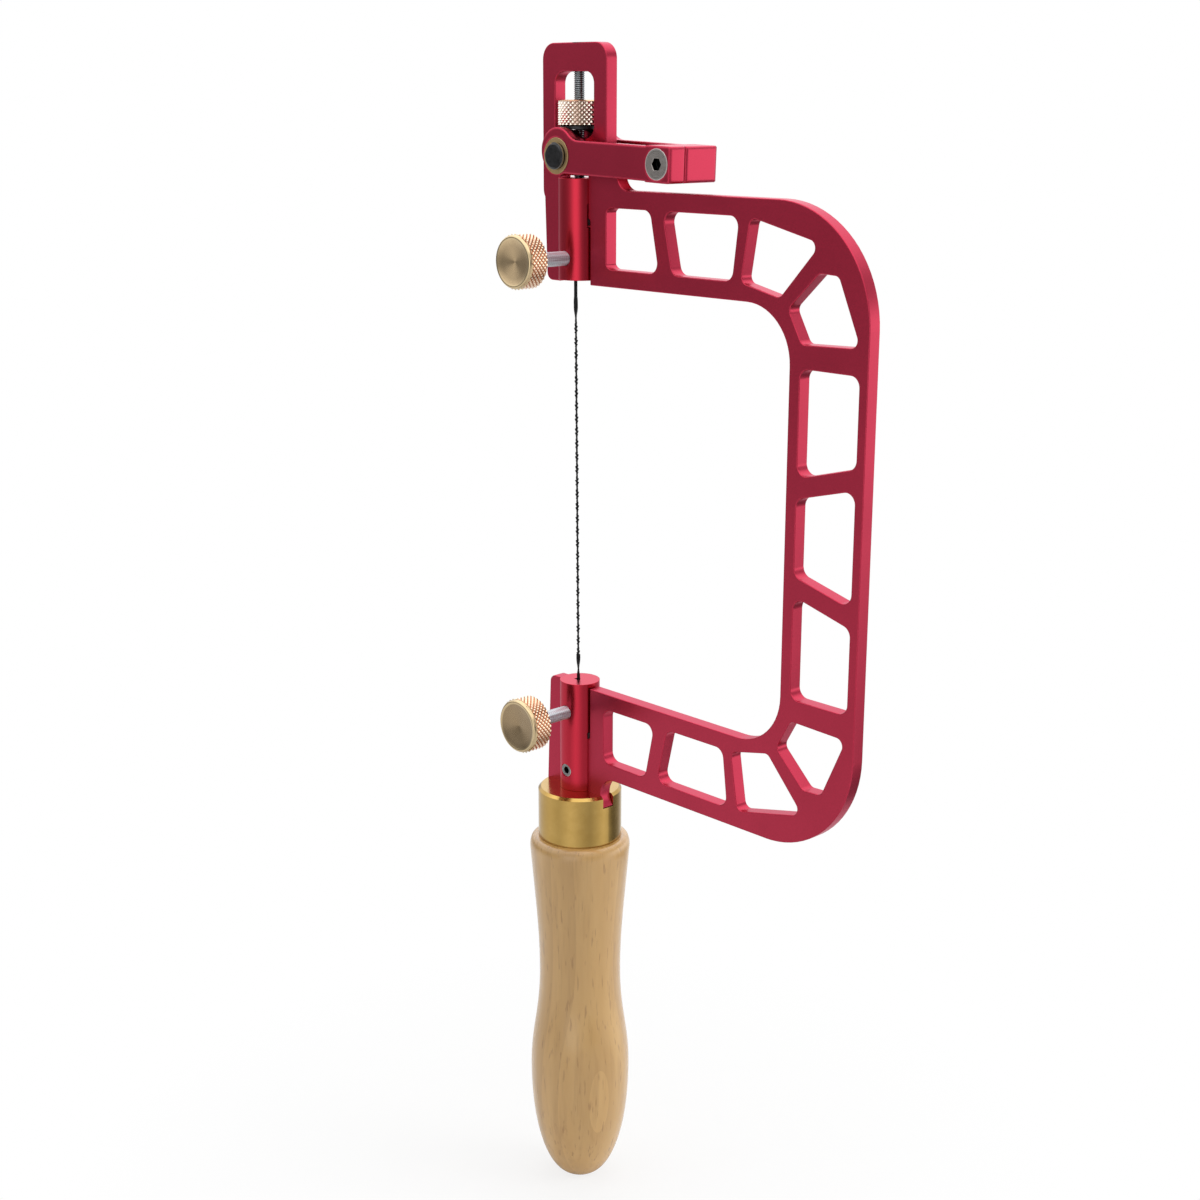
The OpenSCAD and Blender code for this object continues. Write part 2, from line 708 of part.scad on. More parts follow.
module lever_screw() {
    color([0.62, 0.60, 0.58]) translate([0, 0, pivot_z]) at_lever_screw() difference() {
        union() {
            rod_y(lever_screw_r, -lever_half + lever_screw_r, cam_outer - pass);
            translate([0, -lever_half, 0]) rotate([-90, 0, 0])
                cylinder(r1 = lever_head_r, r2 = 0, h = lever_head_r);
        }
        translate([0, -lever_half + socket_r + fit, 0]) rotate([90, 0, 0])
            cylinder(r = socket_r, h = socket_r + over, $fn = 6);
    }
}

// The pivot pin is cross-drilled for the rod and grooved for its two clips
module pivot_pin() {
    end = lever_half + pivot_proud;
    groove = lever_half + clip_gap;
    color([0.13, 0.13, 0.14]) translate([0, 0, pivot_z]) difference() {
        turned_y() polygon([[0, -end], [pivot_r - pin_chamfer, -end],
            [pivot_r, -end + pin_chamfer], [pivot_r, -groove - clip_t],
            [pivot_r - clip_depth, -groove - clip_t], [pivot_r - clip_depth, -groove],
            [pivot_r, -groove], [pivot_r, groove], [pivot_r - clip_depth, groove],
            [pivot_r - clip_depth, groove + clip_t], [pivot_r, groove + clip_t],
            [pivot_r, end - pin_chamfer], [pivot_r - pin_chamfer, end], [0, end]]);
        translate([0, 0, -pivot_r - over]) cylinder(r = rod_r + free, h = 2 * (pivot_r + over));
    }
}

module pivot_bush() {
    difference() {
        union() {
            rod_y(bush_r, -lever_half, -cam_inner);
            rod_y(flange_r, -lever_half, -lever_half + flange_t - fit);
        }
        rod_y(pivot_r + run, -lever_half - over, 0);
    }
}

module near_pivot_bush() {
    color([0.66, 0.50, 0.28]) translate([0, 0, pivot_z]) pivot_bush();
}

module far_pivot_bush() {
    color([0.66, 0.50, 0.28]) translate([0, 0, pivot_z]) mirror([0, 1, 0]) pivot_bush();
}

module retaining_clips() {
    inner = pivot_r - clip_depth + fit;
    groove = lever_half + clip_gap;
    color("silver") translate([0, 0, pivot_z]) for (side = [-1, 1])
        translate([0, side * (groove + clip_t / 2), 0]) rotate([90, clip_turn, 0])
            rotate_extrude(angle = 360 - clip_open)
                translate([inner, -clip_t / 2 + fit]) square([clip_w, clip_t - 2 * fit]);
}

module guide_bush() {
    color([0.72, 0.58, 0.30]) translate([0, 0, tower_window_high]) difference() {
        cylinder(r = guide_r, h = tower_bar);
        translate([0, 0, -over]) cylinder(r = rod_r + run, h = tower_bar + 2 * over);
    }
}

// The blade's turn in degrees at a height over the twist's start: slow half turns at both ends
function blade_turn(z) =
    z < blade_lead ? 180 * max(z, 0) / blade_lead
    : z < blade_twist_len - blade_lead
        ? 180 + 360 * blade_turns * (z - blade_lead) / (blade_twist_len - 2 * blade_lead)
    : 360 * (blade_turns + 1) - 180 * max(blade_twist_len - z, 0) / blade_lead;

// The blade leans a little, because its two ends are clamped at different places
function blade_x(z) =
    -blade_front - (blade_front_high - blade_front) * min(max(z / blade_twist_len, 0), 1);

// The four corners of the strip at a height over the twist's start
function blade_ring(z) = [for (q = [[-1, -1], [1, -1], [1, 1], [-1, 1]])
    let (x = q.x * blade_w / 2, y = q.y * blade_t / 2, a = -blade_turn(z))
    [blade_x(z) + x * cos(a) - y * sin(a), x * sin(a) + y * cos(a), blade_twist_low + z]];

module blade() {
    tight_steps = 8 * blade_turns;
    tight_step = (blade_twist_len - 2 * blade_lead) / tight_steps;
    lead_step = blade_lead / blade_lead_steps;
    heights = concat([lower_clamp_z - blade_past - blade_twist_low],
        [for (i = [0 : blade_lead_steps - 1]) i * lead_step],
        [for (i = [0 : tight_steps - 1]) blade_lead + i * tight_step],
        [for (i = [0 : blade_lead_steps]) blade_twist_len - blade_lead + i * lead_step],
        [upper_clamp_z + blade_past - blade_twist_low]);
    rows = len(heights);
    sides = [for (i = [0 : rows - 2], k = [0 : 3])
        let (a = 4 * i + k, b = 4 * i + (k + 1) % 4)
        each [[a, a + 4, b], [b, a + 4, b + 4]]];
    color([0.10, 0.10, 0.10]) polyhedron([for (z = heights) each blade_ring(z)],
        concat([[0, 1, 2, 3]], sides, [[for (k = [1 : 4]) 4 * rows - k]]));
}

// Clamp pieces, drawn at the clamp's axis
module clamp_screw() {
    tip = -pad_back + fit;
    foot = knob_reach - knob_bore_floor - fit;
    difference() {
        turned_y() polygon([[0, tip], [screw_r - screw_chamfer, tip],
            [screw_r, tip + screw_chamfer], [screw_r, foot], [0, foot]]);
        rod_y(pad_stem_r + run, -tip - pad_stem_len - fit, 0);
    }
}

module clamp_knob(r) {
    face = knob_reach;
    back = knob_reach - knob_t;
    difference() {
        turned_y() polygon([[0, back], [r - knob_chamfer, back], [r, back + knob_chamfer],
            [r, face - knob_chamfer], [r - knob_chamfer, face],
            [r - knob_chamfer - knob_rim_w, face], [0, face - knob_dish]]);
        rod_y(screw_r + fit, -face + knob_bore_floor, 0);
    }
}

module clamp_pad() {
    rod_y(pad_r, pad_back, pad_face);
    rod_y(pad_stem_r, pad_back - pad_stem_len, pad_face);
}

module upper_clamp_screw() { color("silver") translate([0, 0, upper_clamp_z]) clamp_screw(); }

module upper_clamp_knob() {
    color([0.80, 0.64, 0.36]) translate([0, 0, upper_clamp_z]) clamp_knob(knob_r);
}

module upper_clamp_pad() { color("gray") translate([0, 0, upper_clamp_z]) clamp_pad(); }

module lower_clamp_screw() { color("silver") translate([0, 0, lower_clamp_z]) clamp_screw(); }

module lower_clamp_knob() {
    color([0.80, 0.64, 0.36]) translate([0, 0, lower_clamp_z]) clamp_knob(lower_knob_r);
}

module lower_clamp_pad() { color("gray") translate([0, 0, lower_clamp_z]) clamp_pad(); }

frame();
handle();
ferrule();
handle_stud();
handle_insert();
lower_post();
lower_post_set_screw();
lower_dowel();
upper_dowel();
upper_post();
tension_rod();
tension_nut();
thrust_washer();
lever_near_arm();
lever_far_arm();
lever_screw();
pivot_pin();
near_pivot_bush();
far_pivot_bush();
retaining_clips();
guide_bush();
blade();
upper_clamp_screw();
upper_clamp_knob();
upper_clamp_pad();
lower_clamp_screw();
lower_clamp_knob();
lower_clamp_pad();
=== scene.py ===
# Looks of a fret saw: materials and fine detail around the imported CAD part

import json
import math

import bmesh
import bpy
from mathutils import Matrix, Quaternion, Vector

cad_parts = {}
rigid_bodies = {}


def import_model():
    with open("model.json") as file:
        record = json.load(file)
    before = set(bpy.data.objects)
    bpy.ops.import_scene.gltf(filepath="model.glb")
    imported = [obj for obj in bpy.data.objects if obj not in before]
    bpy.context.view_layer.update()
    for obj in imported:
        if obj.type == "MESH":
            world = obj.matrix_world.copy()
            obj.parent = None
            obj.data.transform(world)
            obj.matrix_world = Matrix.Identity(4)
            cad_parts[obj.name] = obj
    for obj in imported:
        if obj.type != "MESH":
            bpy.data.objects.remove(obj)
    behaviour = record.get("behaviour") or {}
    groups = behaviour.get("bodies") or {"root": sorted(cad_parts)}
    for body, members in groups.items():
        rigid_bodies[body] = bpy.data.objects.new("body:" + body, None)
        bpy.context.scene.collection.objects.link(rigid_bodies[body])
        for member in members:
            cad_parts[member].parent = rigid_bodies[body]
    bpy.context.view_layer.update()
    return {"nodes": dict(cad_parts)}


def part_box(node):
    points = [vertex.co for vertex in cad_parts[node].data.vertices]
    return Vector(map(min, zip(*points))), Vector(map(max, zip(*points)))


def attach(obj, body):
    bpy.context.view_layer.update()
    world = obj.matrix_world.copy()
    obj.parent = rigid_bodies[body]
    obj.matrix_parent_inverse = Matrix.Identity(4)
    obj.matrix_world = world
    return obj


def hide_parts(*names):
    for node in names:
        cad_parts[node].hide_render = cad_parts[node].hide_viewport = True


MM = 0.001
TAU = 2 * math.pi

for leftover in list(bpy.data.objects):
    bpy.data.objects.remove(leftover)
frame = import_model()
nodes = frame["nodes"]


# Fine detail: lengths in millimetres, counts, and shares of a length. The nut's radius and the
# threads' crests are nominal and serve the materials, while the shapes take theirs from the CAD

KNURL_DEPTH = 0.42
KNURL_MARGIN = 0.1
KNOB_DIAMONDS = 34
KNOB_KNURL_ROWS = 8
NUT_DIAMONDS = 26
NUT_KNURL_ROWS = 10
NUT_RADIUS = 5.9

M3_PITCH, M3_ROOT, M3_CREST = 0.5, 1.27, 1.5
M4_PITCH, M4_ROOT, M4_CREST = 0.7, 1.965, 2.0
THREAD_SIDES = 28
PITCH_ROWS = 4
CREST_ROWS = (1, 2)
SPARE_ROWS = 5
SCREW_BORE_RADIUS = 0.76
SCREW_BORE_DEPTH = 1.82

BLADE_X = (-0.6, -1.6)
BLADE_TWIST = (164.3, 275.4)
BLADE_LEAD = 8.0
BLADE_TURNS = 13
BLADE_HALF_WIDTH = 0.5
BLADE_HALF_THICK = 0.25
BLADE_EDGE_SHARE = 0.5
BLADE_FLAT_SHARE = 0.45
BLADE_STEP = 0.1
TOOTH_PITCH = 1.15
TOOTH_GULLET = 0.36
TOOTH_STAND = 0.08
TOOTH_RISE_SHARE = 0.8
PLAIN_LEAD_SHARE = 0.8

EDGE_BREAK = 0.25
LEVER_EDGE_BREAK = 0.9
FINE_EDGE_BREAK = 0.12
HANDLE_SIDES = 128
CURVE_STEPS = 28

# Colours as linear red, green and blue, from dark to light, and shades of grey. The steel's
# tint and the oxide's blue are factors on a grey

PLATE_RED = (0.390, 0.0165, 0.047), (0.440, 0.0200, 0.055)
POST_RED = (0.405, 0.0100, 0.028), (0.450, 0.0125, 0.034)
BRONZE = (0.420, 0.285, 0.130), (0.520, 0.370, 0.190)
TURNED_BRASS = (0.500, 0.360, 0.205), (0.580, 0.430, 0.260)
FERRULE_BRASS = (0.375, 0.235, 0.066), (0.430, 0.280, 0.086)
RIM_BRASS = (0.47, 0.36, 0.21), (0.54, 0.42, 0.25)
# The knobs' faces are the same brass; the lower one is painted darker, as painted shade
FACE_BRASS_LOWER_SHADED = {"upper": ((0.490, 0.360, 0.210), (0.560, 0.420, 0.250)),
              "lower": ((0.268, 0.194, 0.112), (0.306, 0.225, 0.134))}
# Knurl colours from valley to peak: painted shade in the valleys and a painted highlight on the
# peaks
NUT_KNURL_SHADE_TO_HIGHLIGHT = (0.42, 0.33, 0.27), (0.76, 0.69, 0.60), (0.92, 0.88, 0.82)
KNOB_KNURL_SHADE_TO_HIGHLIGHT = (0.40, 0.160, 0.080), (0.80, 0.58, 0.40), (0.98, 0.90, 0.78)
PLAIN_STEEL = (0.50, 0.50, 0.51), (0.66, 0.66, 0.67)
CLIP_STEEL = (0.15, 0.15, 0.16), (0.24, 0.24, 0.25)
LEVER_SCREW_STEEL = (0.30, 0.275, 0.26), (0.40, 0.37, 0.35)
SET_SCREW_STEEL = (0.15, 0.15, 0.155), (0.22, 0.22, 0.225)
# A painted highlight round a screw head's rim, and painted shade that turns its socket black
SCREW_RIM_HIGHLIGHT = (0.74, 0.72, 0.70, 1)
SOCKET_SHADE = (0.012, 0.013, 0.014, 1)
OXIDE_BLACK = (0.010, 0.010, 0.011)
OXIDE_BLUE = 1.07
# Thread greys from root to crest: painted shade in the root and a painted highlight on the crest.
# The tension rod's are darker all over than the screws', painted shade for the frame's window it
# stands in
M3_SHADED_GREYS = 0.05, 0.20, 0.36
M4_SHADED_GREYS = 0.44, 0.52, 0.60
STEEL_TINT = (0.93, 0.99, 1.06)
WOOD_GROUND = (0.530, 0.306, 0.101), (0.592, 0.350, 0.120), (0.642, 0.396, 0.148)
LATE_WOOD = (0.445, 0.250, 0.080, 1)
WOOD_STREAK = (0.430, 0.235, 0.074, 1)
WOOD_PORE = (0.270, 0.122, 0.036, 1)
FLOOR_TONES = (0.91, 0.91, 0.91), (0.94, 0.94, 0.94)
WHITE = (1, 1, 1, 1)

# Where a surface's three colours lie between 0 and 1: from the root of a cut to its crest, and
# over the noise that colours the ground of the wood

KNURL_PLACES = (0.12, 0.55, 0.9)
THREAD_PLACES = (0.1, 0.55, 0.9)
GROUND_PLACES = (0.28, 0.50, 0.72)

# Depth of fine marks in a surface, in metres, and the coordinates that measure from an axis

FINE_MARK = 0.00001
ROUND_Y = (1, 0, 1)
ROUND_Z = (1, 1, 0)

# Brightness of the studio as polished faces mirror it, by the angle round the object in
# degrees, from the camera to the right: above the object, at its level and from below it.
# The bands are heights of the mirrored direction over which one list passes into the next

CAMERA_BEARING = -43.4
AMBIENT = 0.52
MIRROR_CEILING = 2.3
MIRROR_ABOVE = [(-180, 1.75), (-120, 1.4), (-70, 1.5), (0, 1.2), (50, 0.9), (95, 0.6), (130, 1.3),
                (180, 1.75)]
MIRROR_LEVEL = [(-180, 0.8), (-150, 0.6), (-120, 0.35), (-93, 0.20), (-72, 0.26), (-50, 0.60),
                (-28, 2.1), (-10, 2.0), (8, 0.50), (31, 0.16), (50, 0.50), (74, 2.1),
                (100, 2.5), (125, 1.7), (150, 1.0), (180, 0.8)]
MIRROR_BELOW = [(-180, 1.0), (-140, 0.95), (-93, 1.20), (-60, 1.0), (-26, 1.25), (0, 1.0),
                (29, 0.75), (50, 1.05), (70, 1.35), (84, 1.05), (94, 0.30), (108, 0.18),
                (130, 0.4), (160, 1.0), (180, 1.0)]
LEVEL_BAND = (-0.34, -0.11)
ABOVE_BAND = (0.02, 0.24)
CEILING_BAND = (0.45, 0.70)
MIRROR_SCALE = 2.0

# Lamps: name, place and size in metres, and watts. All of them aim at the middle of the saw

LAMP_AIM = (0.03, 0.0, 0.22)
LAMPS = [("key_right", (1.05, 0.75, 0.75), 0.9, 9.0),
         ("overhead", (-0.1, 0.2, 1.4), 0.9, 5.0),
         ("fill_left", (-0.7, -1.0, 0.6), 0.8, 2.0)]


# Mesh helpers

def make_object(name, verts, faces, matrix=None):
    """A mesh object from points in millimetres, placed by a matrix in metres."""
    mesh = bpy.data.meshes.new(name)
    mesh.from_pydata([Vector(v) * MM for v in verts], [], faces)
    bm = bmesh.new()
    bm.from_mesh(mesh)
    bmesh.ops.remove_doubles(bm, verts=bm.verts, dist=1e-7)
    bmesh.ops.dissolve_degenerate(bm, edges=bm.edges, dist=1e-8)
    bmesh.ops.recalc_face_normals(bm, faces=bm.faces)
    bm.to_mesh(mesh)
    bm.free()
    obj = bpy.data.objects.new(name, mesh)
    bpy.context.scene.collection.objects.link(obj)
    if matrix is not None:
        obj.matrix_world = matrix
    return obj


def ring_point(radius, column, sides, z):
    """The point of a ring round the Z axis that lies at a column."""
    angle = TAU * column / sides
    return (radius * math.cos(angle), radius * math.sin(angle), z)


def circle(radius, z, sides):
    """All points of a ring round the Z axis."""
    return [ring_point(radius, column, sides, z) for column in range(sides)]


def ring_faces(row, sides, valley_first=None):
    """Faces between a row and the next: quads, or triangles split along the valleys."""
    faces = []
    for column in range(sides):
        nxt = (column + 1) % sides
        a, b = row * sides + column, row * sides + nxt
        c, d = (row + 1) * sides + nxt, (row + 1) * sides + column
        if valley_first is None:
            faces.append((a, b, c, d))
        elif (column % 2 == 0) == valley_first:
            faces += [(a, b, c), (a, c, d)]
        else:
            faces += [(a, b, d), (b, c, d)]
    return faces


def shade(obj, angle_deg):
    """Smooth shading, with edges sharper than the angle kept crisp."""
    mesh = obj.data
    mesh.shade_smooth()
    bm = bmesh.new()
    bm.from_mesh(mesh)
    limit = math.radians(angle_deg)
    for edge in bm.edges:
        edge.smooth = len(edge.link_faces) == 2 and edge.calc_face_angle() < limit
    bm.to_mesh(mesh)
    bm.free()


def lathe(name, profile, sides, matrix=None, closed=False, knurl=None):
    """A turned piece. The profile lists (radius, height) in millimetres. Rows named by knurl
    as (first, last) carry a diamond knurl, whose peaks lie at the profile's radius."""
    first, last = knurl or (0, -1)
    verts, faces = [], []
    for row, (radius, z) in enumerate(profile):
        for column in range(sides):
            valley = first <= row <= last and (column + row) % 2 == 0
            verts.append(ring_point(radius - KNURL_DEPTH if valley else radius, column, sides, z))
    for row in range(len(profile) - 1):
        in_knurl = first <= row < last
        faces += ring_faces(row, sides, row % 2 == 0 if in_knurl else None)
    if closed:
        top = (len(profile) - 1) * sides
        for column in range(sides):
            nxt = (column + 1) % sides
            faces.append((top + column, top + nxt, nxt, column))
    return make_object(name, verts, faces, matrix)


def mark_band(obj, material, low, high, inner):
    """Gives the faces between two heights, and outside a radius, a material of their own. All
    three are in millimetres."""
    obj.data.materials.append(material)
    index = len(obj.data.materials) - 1
    for face in obj.data.polygons:
        reach = math.hypot(face.center.x, face.center.y) / MM
        if low < face.center.z / MM < high and reach > inner:
            face.material_index = index


# CAD nodes

def middle_of(node):
    """The middle of a node's box, in metres."""
    lo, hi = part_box(node)
    return tuple((lo + hi) / 2)


def radius_of(node):
    """The radius of a node that is round in X, in millimetres."""
    lo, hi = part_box(node)
    return (hi.x - lo.x) / 2 / MM


def standing_on(node):
    """Places a piece on the middle of a node's lower end, with its local +Z up."""
    lo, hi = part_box(node)
    return Matrix.Translation(((lo.x + hi.x) / 2, (lo.y + hi.y) / 2, lo.z))


def facing_front(node):
    """Places a piece on the middle of a node's far end, with its local +Z to -Y."""
    lo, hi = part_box(node)
    place = ((lo.x + hi.x) / 2, hi.y, (lo.z + hi.z) / 2)
    return Matrix.Translation(place) @ Matrix.Rotation(math.pi / 2, 4, "X")


def soften(name, width, clamped=True, angle_deg=32):
    """Breaks the sharp edges of a CAD node with modifiers; its own mesh stays as it is. A
    clamped break narrows where the node's edges lie close together."""
    obj = nodes[name]
    weld = obj.modifiers.new("weld", "WELD")
    weld.merge_threshold = 2e-5
    flat = obj.modifiers.new("flat", "DECIMATE")
    flat.decimate_type = "DISSOLVE"
    flat.angle_limit = math.radians(0.4)
    bevel = obj.modifiers.new("edge_break", "BEVEL")
    bevel.width = width * MM
    bevel.segments = 2
    bevel.limit_method = "ANGLE"
    bevel.angle_limit = math.radians(angle_deg)
    bevel.use_clamp_overlap = clamped
    normals = obj.modifiers.new("normals", "WEIGHTED_NORMAL")
    normals.weight = 80
    normals.keep_sharp = False


def paint(names, material):
    """Gives CAD nodes a material."""
    for name in names:
        mesh = nodes[name].data
        mesh.materials.clear()
        mesh.materials.append(material)


def finish_piece(obj, material, body, slot, *replaced):
    """Gives a new piece its material and body, and hides the CAD nodes it stands for. The slot is
    not used.
    """
    obj.data.materials.clear()
    obj.data.materials.append(material)
    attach(obj, body)
    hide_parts(*replaced)


# Shader helpers

def new_material(name):
    """A new material, with its node tree and its shader."""
    mat = bpy.data.materials.new(name)
    mat.use_nodes = True
    return mat, mat.node_tree, mat.node_tree.nodes["Principled BSDF"]


def add(tree, kind, inputs=None, **settings):
    """Adds a node. An input is a value, or an output socket to link."""
    node = tree.nodes.new(kind)
    for key, value in settings.items():
        setattr(node, key, value)
    for socket, value in (inputs or {}).items():
        if isinstance(value, bpy.types.NodeSocket):
            tree.links.new(value, node.inputs[socket])
        else:
            node.inputs[socket].default_value = value
    return node


def object_coords(tree, scale=(1, 1, 1)):
    """The piece's own coordinates in metres, stretched by a scale."""
    coords = add(tree, "ShaderNodeTexCoord").outputs["Object"]
    inputs = {"Vector": coords, "Scale": scale}
    return add(tree, "ShaderNodeMapping", inputs).outputs["Vector"]


def noise(tree, vector, scale, detail=2.0, rough=0.5):
    """Soft noise, 0 to 1."""
    inputs = {"Vector": vector, "Scale": scale, "Detail": detail, "Roughness": rough}
    return add(tree, "ShaderNodeTexNoise", inputs).outputs["Fac"]


def ramp(tree, fac, stops):
    """Colour ramp through (place, colour) stops."""
    node = add(tree, "ShaderNodeValToRGB", {"Fac": fac})
    points = node.color_ramp.elements
    while len(points) < len(stops):
        points.new(0.5)
    for point, (place, colour) in zip(points, stops):
        point.position = place
        point.color = (*colour, 1)
    return node.outputs["Color"]


def two_tones(tree, fac, dark, light, start=0.3, end=0.7):
    """Colour that passes from dark to light between two places."""
    return ramp(tree, fac, [(start, dark), (end, light)])


def spread(tree, value, low, high, from_low=0.0, from_high=1.0):
    """Maps a value from one range to another, and keeps it inside the new one."""
    inputs = {"Value": value, "From Min": from_low, "From Max": from_high,
              "To Min": low, "To Max": high}
    return add(tree, "ShaderNodeMapRange", inputs).outputs["Result"]


def band(tree, value, start, end):
    """0 up to the start, 1 from the end on, and a straight line between."""
    return spread(tree, value, 0.0, 1.0, start, end)


def maths(tree, operation, a, b=0.0):
    """One sum on two values."""
    node = add(tree, "ShaderNodeMath", {0: a, 1: b}, operation=operation)
    return node.outputs["Value"]


def mix_value(tree, fac, a, b):
    """A value between a and b."""
    return add(tree, "ShaderNodeMix", {0: fac, 2: a, 3: b}).outputs[0]


def mix_colour(tree, fac, a, b, blend="MIX"):
    """A colour between a and b, or one blended with the other."""
    node = add(tree, "ShaderNodeMix", {0: fac, 6: a, 7: b}, data_type="RGBA", blend_type=blend)
    return node.outputs[2]


def bump(tree, height, strength, depth=FINE_MARK, normal=None):
    """A normal tilted by a height, over another normal where one is given."""
    inputs = {"Height": height, "Strength": strength, "Distance": depth}
    if normal is not None:
        inputs["Normal"] = normal
    return add(tree, "ShaderNodeBump", inputs).outputs["Normal"]


def radius_from(tree, vector, centre, mask):
    """Distance from an axis: mask drops the coordinate along it."""
    offset = add(tree, "ShaderNodeVectorMath", {0: vector, 1: centre}, operation="SUBTRACT")
    flat = add(tree, "ShaderNodeVectorMath", {0: offset.outputs[0], 1: mask}, operation="MULTIPLY")
    length = add(tree, "ShaderNodeVectorMath", {0: flat.outputs[0]}, operation="LENGTH")
    return length.outputs["Value"]


def turning_marks(tree, distance, pitch, wander):
    """Fine lathe rings: a sine over distance, shifted a little by noise."""
    shifted = maths(tree, "ADD", distance, maths(tree, "MULTIPLY", wander, pitch))
    return maths(tree, "SINE", maths(tree, "MULTIPLY", shifted, TAU / pitch))


def connect(tree, bsdf, **outputs):
    """Links outputs to the shader's sockets. An underscore stands for a space."""
    for key, output in outputs.items():
        tree.links.new(output, bsdf.inputs[key.replace("_", " ")])


def set_shader(bsdf, **values):
    """Constants that are the same all over the surface go on the shader's own sockets."""
    for key, value in values.items():
        bsdf.inputs[key.replace("_", " ")].default_value = value


def stretch(tree, bsdf, brushed):
    """Stretches highlights across the marks that run round a piece's own axis."""
    if brushed:
        tangent = add(tree, "ShaderNodeTangent", direction_type="RADIAL", axis="Z")
        connect(tree, bsdf, Tangent=tangent.outputs[0])
        set_shader(bsdf, Anisotropic=brushed, Anisotropic_Rotation=0.25)


# Materials

def anodised_red(name, tones, rough, edge, grit=1.0):
    """Satin red anodised aluminium: fine grain under a clear sealed skin. Its edges catch the
    light over the given width in millimetres. A smaller grit makes the grain fainter."""
    mat, tree, bsdf = new_material(name)
    vector = object_coords(tree)
    cloud = noise(tree, vector, scale=38, detail=3)
    grain = noise(tree, vector, scale=2600, detail=2, rough=0.6)
    tone = two_tones(tree, cloud, *tones)
    speck_depth = 0.11
    shadow = 1 - speck_depth * grit
    speck = two_tones(tree, grain, (shadow, shadow, shadow), (1, 1, 1), start=0.35, end=0.65)
    rounded = add(tree, "ShaderNodeBevel", {"Radius": edge * MM}, samples=8).outputs[0]
    connect(tree, bsdf,
            Base_Color=mix_colour(tree, 1.0, tone, speck, "MULTIPLY"),
            Roughness=spread(tree, grain, low=rough - 0.05 * grit, high=rough + 0.06 * grit),
            Normal=bump(tree, grain, 0.12 * grit, 2 * FINE_MARK, rounded),
            Coat_Normal=rounded)
    set_shader(bsdf, Metallic=1.0, Coat_Weight=0.31, Coat_Roughness=0.3, Coat_IOR=1.5,
               Specular_Tint=(1.0, 0.60, 0.70, 1))
    return mat


def growth_rings(tree, vector):
    """Late wood of each growth ring, 0 to 1. The rings lie round a heart outside the handle,
    so the belly cuts one of them as an oval. Lengths are in metres."""
    heart = (0.047, -0.017, 0)
    spacing = 0.0064
    first = 0.0357
    lean = 0.053
    oval_z = 0.028
    sway_reach = 0.0009
    distance = radius_from(tree, vector, heart, ROUND_Z)
    height = add(tree, "ShaderNodeSeparateXYZ", {0: vector}).outputs["Z"]
    leaned = maths(tree, "MULTIPLY", maths(tree, "SUBTRACT", height, oval_z), lean)
    sway = noise(tree, object_coords(tree, (1, 1, 0.12)), scale=60, detail=2)
    swayed = maths(tree, "MULTIPLY", maths(tree, "SUBTRACT", sway, 0.5), sway_reach)
    depth = maths(tree, "ADD", maths(tree, "ADD", distance, leaned), swayed)
    turns = maths(tree, "DIVIDE", maths(tree, "SUBTRACT", depth, first), spacing)
    return maths(tree, "SUBTRACT", 1.0, maths(tree, "FRACT", turns))


def varnished_wood():
    """Pale ring-porous wood under gloss varnish: growth rings and short dark pores."""
    mat, tree, bsdf = new_material("varnished_wood")
    late = growth_rings(tree, object_coords(tree))
    tone = noise(tree, object_coords(tree, (1, 1, 0.10)), scale=130, detail=4, rough=0.6)
    ground = ramp(tree, tone, list(zip(GROUND_PLACES, WOOD_GROUND)))
    late_share = spread(tree, late, low=0.0, high=0.42, from_low=0.45)
    ringed = mix_colour(tree, late_share, ground, LATE_WOOD)
    streaks = noise(tree, object_coords(tree, (1, 1, 0.055)), scale=420, detail=3, rough=0.65)
    streak_share = spread(tree, streaks, low=0.0, high=0.50, from_low=0.52, from_high=0.75)
    streaked = mix_colour(tree, streak_share, ringed, WOOD_STREAK)
    cells = noise(tree, object_coords(tree, (1, 1, 0.12)), scale=1000, detail=2, rough=0.55)
    pores = spread(tree, cells, low=0.0, high=0.46, from_low=0.610, from_high=0.71)
    sunk = maths(tree, "MULTIPLY", pores, -1.0)
    connect(tree, bsdf,
            Base_Color=mix_colour(tree, pores, streaked, WOOD_PORE),
            Roughness=spread(tree, tone, low=0.30, high=0.42),
            Normal=bump(tree, sunk, strength=0.25, depth=6 * FINE_MARK))
    set_shader(bsdf, Coat_Weight=0.7, Coat_Roughness=0.11, Coat_IOR=1.5)
    return mat


def turned_metal(name, tones, rough, centre=(0, 0, 0), mask=ROUND_Z, brushed=0.0):
    """Metal straight from the lathe, with fine rings round its axis. Brushed metal stretches
    its highlights across the rings."""
    mat, tree, bsdf = new_material(name)
    vector = object_coords(tree)
    cloud = noise(tree, vector, scale=260, detail=3)
    distance = radius_from(tree, vector, centre, mask)
    rings = turning_marks(tree, distance, 0.3 * MM, cloud)
    connect(tree, bsdf,
            Base_Color=two_tones(tree, cloud, *tones),
            Roughness=spread(tree, rings, rough - 0.03, rough + 0.06, from_low=-1.0),
            Normal=bump(tree, rings, strength=0.10))
    set_shader(bsdf, Metallic=1.0)
    stretch(tree, bsdf, brushed)
    return mat


